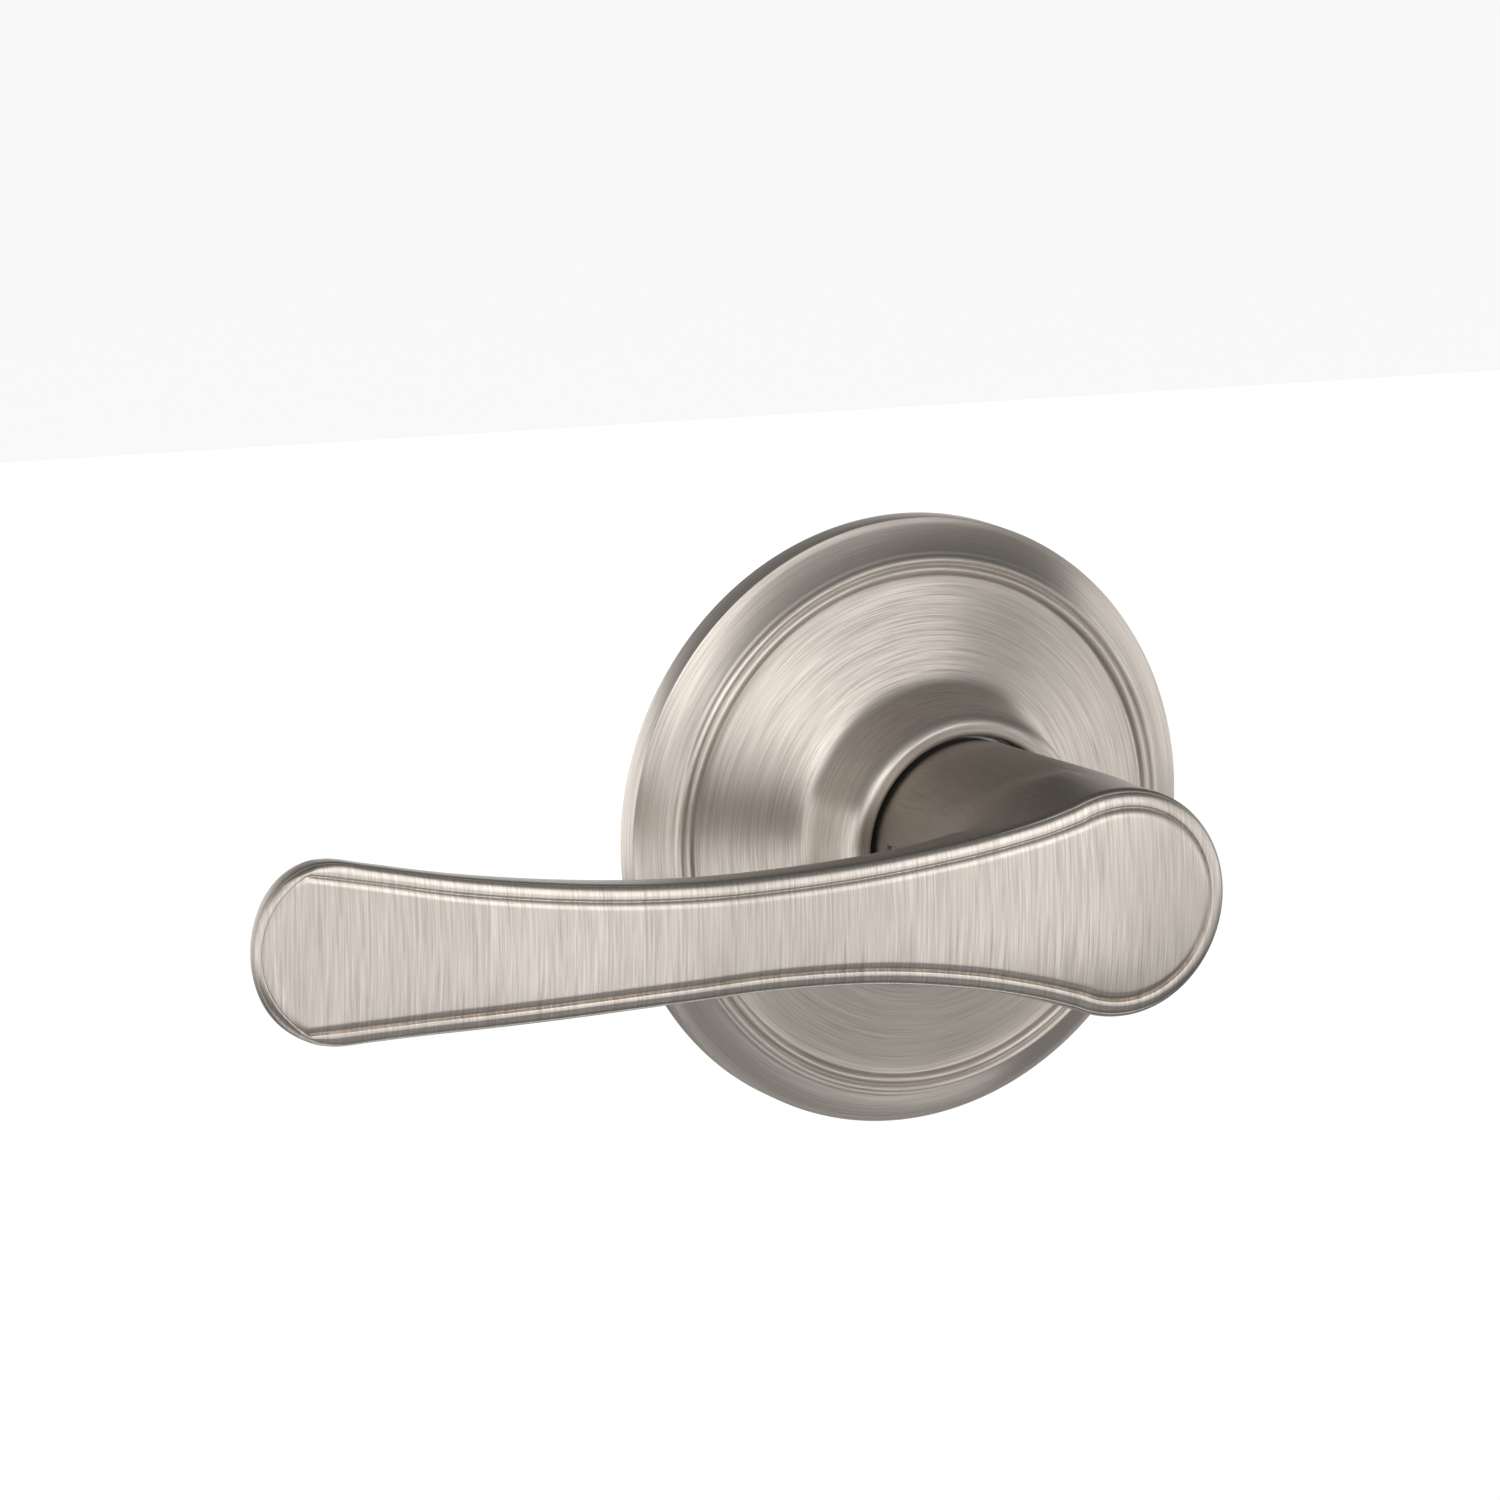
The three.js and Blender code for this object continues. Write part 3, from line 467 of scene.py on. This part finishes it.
def scoop(along, up):
    """How far the panel lies below its crown near the tip: it sinks gently and turns up in a fillet at
    its end."""
    inward = PANEL_END_RADIUS - np.hypot(along - PANEL_END_CENTRE, up)
    turn = np.arctan2(up, np.maximum(along - PANEL_END_CENTRE, 0.01)) / PANEL_CORNER_ANGLE
    width = SCOOP_WIDTH * np.sqrt(np.clip(1 - turn ** 2, 0.01, 1))
    past_corner = along - PANEL_CORNER_ALONG
    fillet = np.clip(1 - inward / width, 0, 1) ** 2 * ease(past_corner / SCOOP_FILLET_RUN + 1)
    started = np.clip((along - SCOOP_START) / (PANEL_TIP - SCOOP_START), 0, 1)
    across = np.clip(up / PANEL_CORNER_UP, 0, 1)
    sunk = started ** 1.5 * (1 - across ** 2 * (1 - ease(past_corner / SCOOP_SPREAD_RUN)))
    return SCOOP_DEPTH * sunk * (1 - fillet)


def to_outline(points, outline):
    """The distance of each point from the nearest span of an outline."""
    start, span = outline[:-1], np.diff(outline, axis=0)
    away = points[:, None] - start
    share = np.clip((away * span).sum(-1) / np.maximum((span * span).sum(-1), 1e-9), 0, 1)
    return np.linalg.norm(away - share[..., None] * span, axis=-1).min(1)


def panel_rib(across, inward=RIM_WIDTH):
    """A line of the face panel. Across runs from the middle of the arm, 0, to a line, 1, that lies inward
    from the panel's edge, in millimetres."""
    along, edge = panel_line[:, 0], panel_line[:, 1]
    up = (edge - inward * np.minimum(edge / RIM_FULL_FROM, 1)) * across
    rounded = np.clip(1 - to_outline(np.column_stack([along, up]), panel_line) / RIM_WIDTH, 0, 1)
    sink = scoop(along, up) + RIM_DROP * rounded ** 2
    out = face_out(along) + (edge ** 2 - up ** 2) / (2 * PANEL_CROWN) - sink
    return np.stack([along, up, out], -1)


def border_rib(outward, depth, share):
    """A line of the border: outward runs from the panel, 0, to the sharp edge, 1. It lies depth behind the
    panel's edge, plus share of the whole drop to the sharp edge."""
    at = panel_line + (edge_line - panel_line) * outward
    out = face_out(at[:, 0]) - depth - EDGE_DROP * share
    return np.column_stack([at, out])


def flank_rib(outward, behind_edge):
    """A line of the flank: outward is a share of the side bulge, behind_edge is in millimetres."""
    at = edge_line + edge_normal * (outward * side_bulge(edge_line[:, 0]))[:, None]
    depth = np.minimum(behind_edge, FLANK_SHARE * edge_depth(edge_line[:, 0]))
    return np.column_stack([at, edge_out(edge_line[:, 0]) - depth])


BACK_ROUNDING, BACK_SWELL, BACK_BULGE = 0.62, 1.1, 0.7


def back_rib(turn):
    """A line of the rounded back: turn runs from the flank, 0, to the middle of the back, 1. Past the
    nose's centre it closes in from all sides."""
    angle = turn * np.pi / 2
    across = math.cos(angle) ** BACK_ROUNDING
    deep = FLANK_SHARE + (1 - FLANK_SHARE) * math.sin(angle) ** BACK_SWELL
    swelled = edge_line + edge_normal * (side_bulge(edge_line[:, 0]) * BACK_BULGE * (1 - turn))[:, None]
    past = np.maximum(swelled[:, 0] - NOSE_CENTRE, 0)
    along = swelled[:, 0] - past * (1 - across)
    out = edge_out(along) - edge_depth(along) * deep
    return np.column_stack([along, swelled[:, 1] * across * (turn < 1), out])


PANEL_RIBS, RIM_RIBS, BACK_RIBS = 26, 10, 22
BORDER_RIBS = (                   # outward, depth and share, as border_rib() takes them
    (0.03, 0.34, 0), (0.06, 0.36, 0), (0.09, 0.3, 0), (0.12, 0.17, 0), (0.15, 0.1, 0), (0.2, 0.06, 0.01),
    (0.28, 0.02, 0.06), (0.36, 0, 0.1), (0.46, 0, 0.16), (0.56, 0, 0.24), (0.66, 0, 0.34), (0.76, 0, 0.46),
    (0.86, 0, 0.61), (0.94, 0, 0.78), (0.98, 0, 0.9), (1, 0, 1))
FLANK_RIBS = (                    # outward and behind_edge, as flank_rib() takes them
    (0.13, 0.01), (0.44, 0.08), (0.73, 0.24), (0.91, 0.48), (1, 0.85), (1, 1.25), (0.9, 1.9))


def arm_mesh():
    """The arm with its hub: ribs that run from hub to tip, from the panel's middle round to the back's."""
    ribs = [panel_rib(across) for across in np.linspace(0, 1, PANEL_RIBS)]
    ribs += [panel_rib(1, RIM_WIDTH * share) for share in np.linspace(0.9, 0, RIM_RIBS)]
    ribs += [border_rib(*values) for values in BORDER_RIBS]
    ribs += [flank_rib(*values) for values in FLANK_RIBS]
    ribs += [back_rib(turn) for turn in np.linspace(0.02, 1, BACK_RIBS)]
    ribs = np.array(ribs)
    ribs[:, [0, -1], 1] = 0
    loop = np.concatenate([ribs, ribs[-2:0:-1] * [1, -1, 1]])
    points = np.stack([-loop[..., 0], -loop[..., 2], loop[..., 1]], -1).transpose(1, 0, 2)
    return points.reshape(-1, 3), grid_faces(points.shape[0], points.shape[1])


NECK_PROFILE = curve_through([
    [NECK_RADIUS, NECK_END + 0.45], [NECK_RADIUS + 0.3, 26], [NECK_TOP_RADIUS - 0.12, 36],
    [NECK_TOP_RADIUS, NECK_TOP - 2]], 14)
SKIRT_RADIUS, SKIRT_WALL, SKIRT_LENGTH, SKIRT_BEVEL = NECK_RADIUS - 0.25, 0.25, 2.9, 0.03
SKIRT_END = NECK_END - SKIRT_LENGTH


def neck_mesh():
    """The round neck, with a thin skirt that goes into the rose's collar."""
    skirt = [[SKIRT_RADIUS - SKIRT_WALL, NECK_END], [SKIRT_RADIUS - SKIRT_WALL, SKIRT_END],
             [SKIRT_RADIUS - SKIRT_BEVEL, SKIRT_END], [SKIRT_RADIUS, SKIRT_END + SKIRT_BEVEL],
             [SKIRT_RADIUS, NECK_END + 0.1], [SKIRT_RADIUS + 0.04, NECK_END + 0.14]]
    shoulder = [NECK_RADIUS - 0.03, NECK_END + 0.36]
    top = [[NECK_TOP_RADIUS - 0.12, NECK_TOP - 0.9], [NECK_TOP_RADIUS - 0.4, NECK_TOP], [0, NECK_TOP]]
    profile = [[0, NECK_END], *skirt, shoulder, *NECK_PROFILE, *top]
    return turned(profile, 240, lean=-HUB_SHIFT / (NECK_TOP - NECK_END), lean_from=NECK_END)


# The lever is hollow where it slides on the drive tube, and has a slot for the catch.
TUBE_CLEARANCE, TUBE_FLAT, BORE_START, BORE_TOP = 8.4, 7.7, NECK_END - 1, 31
CATCH_OUT, CATCH_HIGH, SLOT_LONG, SLOT_TALL = 20.3, 1.2, 1.9, 1.0
SLOT_LEFT, SLOT_RIGHT = -14, -5


def box_mesh(low, high):
    corners = [(x, y, z) for x in (low[0], high[0]) for y in (low[1], high[1]) for z in (low[2], high[2])]
    faces = [(0, 1, 3, 2), (4, 6, 7, 5), (0, 4, 5, 1), (2, 3, 7, 6), (0, 2, 6, 4), (1, 5, 7, 3)]
    return corners, faces


def bore_mesh():
    """The bore round the drive tube, with its two flats."""
    angle = np.linspace(0, 2 * np.pi, 160, endpoint=False)
    x = TUBE_CLEARANCE * np.cos(angle)
    z = np.clip(TUBE_CLEARANCE * np.sin(angle), -TUBE_FLAT, TUBE_FLAT)
    rings = [np.column_stack([x, np.full_like(x, -out), z]) for out in (BORE_START, BORE_TOP)]
    ends = [np.tile([[0, -out, 0]], (len(x), 1)) for out in (BORE_START, BORE_TOP)]
    points = np.concatenate([ends[0], rings[0], rings[1], ends[1]])
    return points, grid_faces(4, len(x))


def boolean(target, cutter, operation):
    modifier = target.modifiers.new(operation, "BOOLEAN")
    modifier.material_mode = "TRANSFER"
    modifier.operation = operation
    modifier.object = cutter
    modifier.solver = "MANIFOLD"
    apply_modifiers(target)
    bpy.data.objects.remove(cutter)


def apply_modifiers(obj):
    graph = bpy.context.evaluated_depsgraph_get()
    mesh = bpy.data.meshes.new_from_object(obj.evaluated_get(graph))
    old = obj.data
    obj.modifiers.clear()
    obj.data = mesh
    mesh.name = obj.name
    bpy.data.meshes.remove(old)


FILLET = 7.0                      # reach of the soft blend between neck and arm
BLEND_REACH, BLEND_ROUNDS, SEAM_WELD = 6.5, 260, 0.22
BLEND_CLEAR, BLEND_START, BLEND_RUN = 1, 0.8, 2    # how far behind the sharp edge the blend begins
FACE_START = -12                  # below_edge() follows the face from here to the tip


def swell(obj, other, movable):
    """Moves each movable vertex outwards where the other solid is near, so that the two meet in a soft
    blend."""
    places = [vertex.co[:] for vertex in other.data.vertices]
    tree = BVHTree.FromPolygons(places, [face.vertices[:] for face in other.data.polygons])
    reach = FILLET * MM
    moved = []
    for vertex in obj.data.vertices:
        weight = movable(vertex.co)
        if weight <= 0:
            continue
        near, normal, _, distance = tree.find_nearest(vertex.co, 4 * reach)
        if near is None or distance > reach:
            continue
        inside = (vertex.co - near).dot(normal) < 0
        gap = 0 if inside else distance
        moved.append((vertex.index, vertex.normal * weight * (reach - gap) ** 2 / (4 * reach)))
    for index, step in moved:
        obj.data.vertices[index].co += step


def below_edge(x, y):
    """How far a point lies behind the arm's sharp edge, in millimetres."""
    along = np.clip(-np.asarray(x) / MM, FACE_START, ARM_TIP)
    return edge_out(along) + np.asarray(y) / MM


def weld_seam(mesh):
    """Joins the slivers along the seam between the two materials."""
    bm = bmesh.new()
    bm.from_mesh(mesh)
    joint = {v for e in bm.edges if len({f.material_index for f in e.link_faces}) > 1 for v in e.verts}
    close = joint | {e.other_vert(v) for v in joint for e in v.link_edges}
    welded = [v for v in bm.verts if v in close and below_edge(v.co.x, v.co.y) > BLEND_CLEAR]
    bmesh.ops.remove_doubles(bm, verts=welded, dist=SEAM_WELD * MM)
    bm.to_mesh(mesh)
    bm.free()


def soften_seam(mesh):
    """Relaxes the surface round the seam between the two materials, leaving the face and its sharp edge
    alone."""
    weld_seam(mesh)
    seen, seam = {}, set()
    for face in mesh.polygons:
        for key in face.edge_keys:
            if seen.setdefault(key, face.material_index) != face.material_index:
                seam.update(key)
    places = np.empty(len(mesh.vertices) * 3)
    mesh.vertices.foreach_get("co", places)
    places = places.reshape(-1, 3)
    ends = np.empty(len(mesh.edges) * 2, int)
    mesh.edges.foreach_get("vertices", ends)
    one, other = ends.reshape(-1, 2).T
    tree = KDTree(len(seam))
    for index in seam:
        tree.insert(places[index], index)
    tree.balance()
    near = np.array([tree.find(place)[2] for place in places])
    behind = below_edge(places[:, 0], places[:, 1])
    weight = ease(1 - near / (BLEND_REACH * MM)) * ease((behind - BLEND_START) / BLEND_RUN)
    size = len(places)
    count = np.bincount(ends, minlength=size)
    for _ in range(BLEND_ROUNDS):
        sums = [np.bincount(one, places[other, k], size) + np.bincount(other, places[one, k], size)
                for k in range(3)]
        total = np.stack(sums, -1)
        places += (total / count[:, None] - places) * (0.5 * weight)[:, None]
    mesh.vertices.foreach_set("co", places.ravel())
    mesh.update()


SATIN_FROM = 0.002                # the satin finish starts this far behind the sharp edge
NECK_SWELL_START, NECK_SWELL_END, NECK_SWELL_RUN = 20, 44.5, 6    # out from the door
ARM_SWELL_BEHIND, ARM_SWELL_BEHIND_RUN = 4, 4     # behind the sharp edge
ARM_SWELL_ALONG, ARM_SWELL_ALONG_RUN = 9, 3
ARM_SWELL = 0.35                  # the arm takes this share of what the neck would


def neck_weight(co):
    """How much of the soft blend a point of the neck takes, on the arm's side only."""
    out = -co.y / MM
    rising = np.clip((out - NECK_SWELL_START) / NECK_SWELL_RUN, 0, 1)
    falling = np.clip((NECK_SWELL_END - out) / NECK_SWELL_RUN, 0, 1)
    return float(rising * falling * (co.x < 0))


def arm_weight(co):
    """How much of the soft blend a point of the arm takes."""
    behind = ease((below_edge(co.x, co.y) - ARM_SWELL_BEHIND) / ARM_SWELL_BEHIND_RUN)
    along = ease((-co.x / MM - ARM_SWELL_ALONG) / ARM_SWELL_ALONG_RUN)
    return float(behind * along) * ARM_SWELL


def build_lever():
    arm = mesh_object("lever_arm_part", *arm_mesh(), None)
    neck = mesh_object("lever_neck_part", *neck_mesh(), None)
    swell(neck, arm, neck_weight)
    swell(arm, neck, arm_weight)
    arm.data.materials.append(brushed_nickel("nickel_brushed_straight", circular=False))
    neck.data.materials.append(satin_nickel("nickel_satin"))
    boolean(arm, neck, "UNION")
    soften_seam(arm.data)
    satin = arm.data.materials.find("nickel_satin")
    for face in arm.data.polygons:
        if below_edge(face.center.x, face.center.y) > SATIN_FROM:
            face.material_index = satin
    bore = mesh_object("bore", *bore_mesh(), None)
    bore.data.materials.append(bpy.data.materials["nickel_satin"])
    boolean(arm, bore, "DIFFERENCE")
    low = (SLOT_LEFT, -CATCH_OUT - SLOT_LONG / 2, CATCH_HIGH - SLOT_TALL / 2)
    high = (SLOT_RIGHT, -CATCH_OUT + SLOT_LONG / 2, CATCH_HIGH + SLOT_TALL / 2)
    slot = mesh_object("slot", *box_mesh(low, high), None)
    boolean(arm, slot, "DIFFERENCE")
    arm.name = arm.data.name = "lever"
    weld(arm.data, FINE_WELD_DISTANCE)
    smooth(arm.data, 28)
    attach(arm, "lever")
    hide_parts("lever_handle")
    return arm


# ---------------------------------------------------------------- the rose's shape

ROSE_RADIUS, ROSE_WALL, COLLAR_TOP, COLLAR_HOLE = 33, 1, 16.85, 11.72


def rose_profile():
    """The rose's section, as [radius, out], from its rim over the front to its back."""
    rim = [[ROSE_RADIUS - 0.15, 0], [ROSE_RADIUS, 0.15], [ROSE_RADIUS, 2.8], [ROSE_RADIUS - 0.04, 2.91],
           [ROSE_RADIUS - 0.14, 2.96]]
    cove = curve_through([
        [32.75, 2.99], [32.25, 3.22], [31.55, 3.7], [30.8, 4.31], [30.15, 4.94], [29.65, 5.5]], 8)
    outer_bead = curve_through([
        [29.42, 5.62], [29.15, 5.98], [28.85, 6.12], [28.55, 6.0], [28.38, 5.82]], 6)
    inner_bead = curve_through([
        [28.34, 5.82], [28.12, 6.05], [27.84, 6.16], [27.5, 6.02], [27.2, 5.68]], 6)
    dish = curve_through([
        [27.05, 5.6], [26, 5.75], [23.5, 6.4], [20.5, 7.2], [17.8, 7.95], [16.6, 8.38], [15.8, 9],
        [15.3, 10], [15, 11.4], [14.7, 13.1], [14.4, 14.8]], 8)
    lip = curve_through([
        [14.2, 15.4], [14.05, 15.9], [13.7, 16.5], [13.2, COLLAR_TOP], [12.6, COLLAR_TOP],
        [12.1, 16.8], [COLLAR_HOLE + 0.05, 16.6], [COLLAR_HOLE, 16.2]], 6)
    inside = curve_through([
        [COLLAR_HOLE, 15.3], [12.9, 14.6], [13.4, 13.8], [13.7, 12.8], [14.05, 11.2], [14.7, 9.2],
        [15.9, 7.9], [17.6, 7], [20.3, 6.2], [23.3, 5.4], [26, 4.8], [28.4, 4.75], [29.3, 3.8],
        [30.8, 2.4], [32, 1.8]], 4)
    foot = [[ROSE_RADIUS - ROSE_WALL, 0.1], [ROSE_RADIUS - ROSE_WALL + 0.1, 0]]
    return np.vstack([rim, cove, outer_bead, inner_bead, dish, lip, inside, foot])


def build_rose():
    points, faces = turned(rose_profile(), 360)
    rose = mesh_object("rose", points, faces, "root", sharp=40)
    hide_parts("rose_cover")
    return rose


lever = build_lever()
rose = build_rose()

grain_uv(lever, circular=False)
grain_uv(rose, circular=True)
rose.data.materials.clear()
rose.data.materials.append(brushed_nickel("nickel_brushed_round", circular=True))


def metal(name, colour, roughness, mottle=0.18):
    """Plated or oiled steel: mottle is how much darker its faint clouds are than the colour."""
    nodes = Nodes(name)
    cloud = nodes.noise(nodes.place(), 900, detail=4)
    dark = [channel * (1 - mottle) for channel in colour]
    nodes.surface(nodes.tone(cloud, dark, colour),
                  nodes.ramp(cloud, 0.3, 0.7, roughness + 0.08, roughness - 0.05))
    return nodes.material


def moulded_nylon(name, dark, light):
    nodes = Nodes(name)
    cloud = nodes.noise(nodes.place(), 700, detail=3)
    nodes.surface(nodes.tone(cloud, dark, light), 0.55, metallic=0)
    return nodes.material


SLOT_MATERIALS = {
    "zinc_plated_steel": metal("zinc_plate", (0.55, 0.56, 0.57), 0.36),
    "spring_steel": metal("spring_steel", (0.27, 0.28, 0.3), 0.3),
    "cast_zinc": metal("cast_zinc", (0.45, 0.45, 0.46), 0.5, mottle=0.3),
    "nylon": moulded_nylon("nylon_white", (0.72, 0.7, 0.62), (0.84, 0.82, 0.75)),
}
for part in frame["record"]["subparts"]:
    material = SLOT_MATERIALS.get(part["material_slot"])
    if material:
        node = frame["nodes"][part["node"]]
        node.data.materials.clear()
        node.data.materials.append(material)

# ---------------------------------------------------------------- floor and light


FLOOR_REACH, FLOOR_LEVEL = 4, -0.24    # metres
FLOOR_GREY, FLOOR_GLOW = 0.1, 0.92
LIGHT_DISTANCE = 1.5
AMBIENT = 0.12                    # the world's light on the object: the camera sees it at full white
SOFTBOXES = (                     # name, azimuth, elevation, width and height in degrees, radiance
    ("key", -34, 27, 50, 28, 1.8),
    ("front_high", 10, 20, 50, 26, 1.75),
    ("front_left", -10, -11, 48, 34, 1.3),
    ("front_right", 41, -12, 56, 40, 0.8),
    ("overhead", -10, 66, 50, 16, 0.3),
    ("left_front", -58, -10, 38, 52, 0.9),
    ("left", -100, -4, 44, 40, 1.5),
    ("right", 86, 4, 50, 34, 1.1),
    ("behind", 172, 2, 90, 46, 1.5),
    ("behind_left", -150, 0, 36, 40, 0.95),
    ("below", 0, -52, 60, 22, 0.35),
    ("below_back", 180, -72, 80, 36, 1.0),
)


def make_floor():
    """A plain bright floor that only the camera sees."""
    corners = [(side * FLOOR_REACH, depth * FLOOR_REACH, FLOOR_LEVEL)
               for side, depth in ((-1, -1), (1, -1), (1, 1), (-1, 1))]
    mesh = bpy.data.meshes.new("floor")
    mesh.from_pydata(corners, [], [(0, 1, 2, 3)])
    floor = bpy.data.objects.new("floor", mesh)
    bpy.context.collection.objects.link(floor)
    nodes = Nodes("floor_paint")
    nodes.shader.inputs["Base Color"].default_value = (FLOOR_GREY, FLOOR_GREY, FLOOR_GREY, 1)
    nodes.shader.inputs["Roughness"].default_value = 0.9
    nodes.shader.inputs["Emission Color"].default_value = (1, 1, 1, 1)
    nodes.shader.inputs["Emission Strength"].default_value = FLOOR_GLOW
    mesh.materials.append(nodes.material)
    floor.visible_glossy = False
    floor.visible_diffuse = False


def softbox(name, azimuth, elevation, width, height, radiance):
    """A rectangular soft light that faces the origin. Azimuth 0 is in front of the door and turns towards
    +X, width and height are the angles that it fills, and radiance is how bright its face is."""
    around, rise = math.radians(azimuth), math.radians(elevation)
    away = Vector((math.sin(around) * math.cos(rise), -math.cos(around) * math.cos(rise), math.sin(rise)))
    data = bpy.data.lights.new(name, "AREA")
    data.shape = "RECTANGLE"
    data.size, data.size_y = (2 * LIGHT_DISTANCE * math.tan(math.radians(a / 2)) for a in (width, height))
    data.energy = math.pi * data.size * data.size_y * radiance
    light = bpy.data.objects.new(name, data)
    light.location = away * LIGHT_DISTANCE
    light.rotation_mode = "QUATERNION"
    light.rotation_quaternion = (-away).to_track_quat("-Z", "Y")
    bpy.context.collection.objects.link(light)


def make_world():
    """Even white light, faint on the object and full where the camera looks past it."""
    world = bpy.data.worlds.new("studio")
    bpy.context.scene.world = world
    world.use_nodes = True
    tree = world.node_tree
    background = tree.nodes["Background"]
    background.inputs["Color"].default_value = (1, 1, 1, 1)
    path = tree.nodes.new("ShaderNodeLightPath")
    strength = tree.nodes.new("ShaderNodeMapRange")
    strength.inputs["To Min"].default_value = AMBIENT
    strength.inputs["To Max"].default_value = 1
    tree.links.new(path.outputs["Is Camera Ray"], strength.inputs["Value"])
    tree.links.new(strength.outputs["Result"], background.inputs["Strength"])


make_floor()
make_world()
for values in SOFTBOXES:
    softbox(*values)
bpy.context.scene.view_settings.view_transform = "Standard"
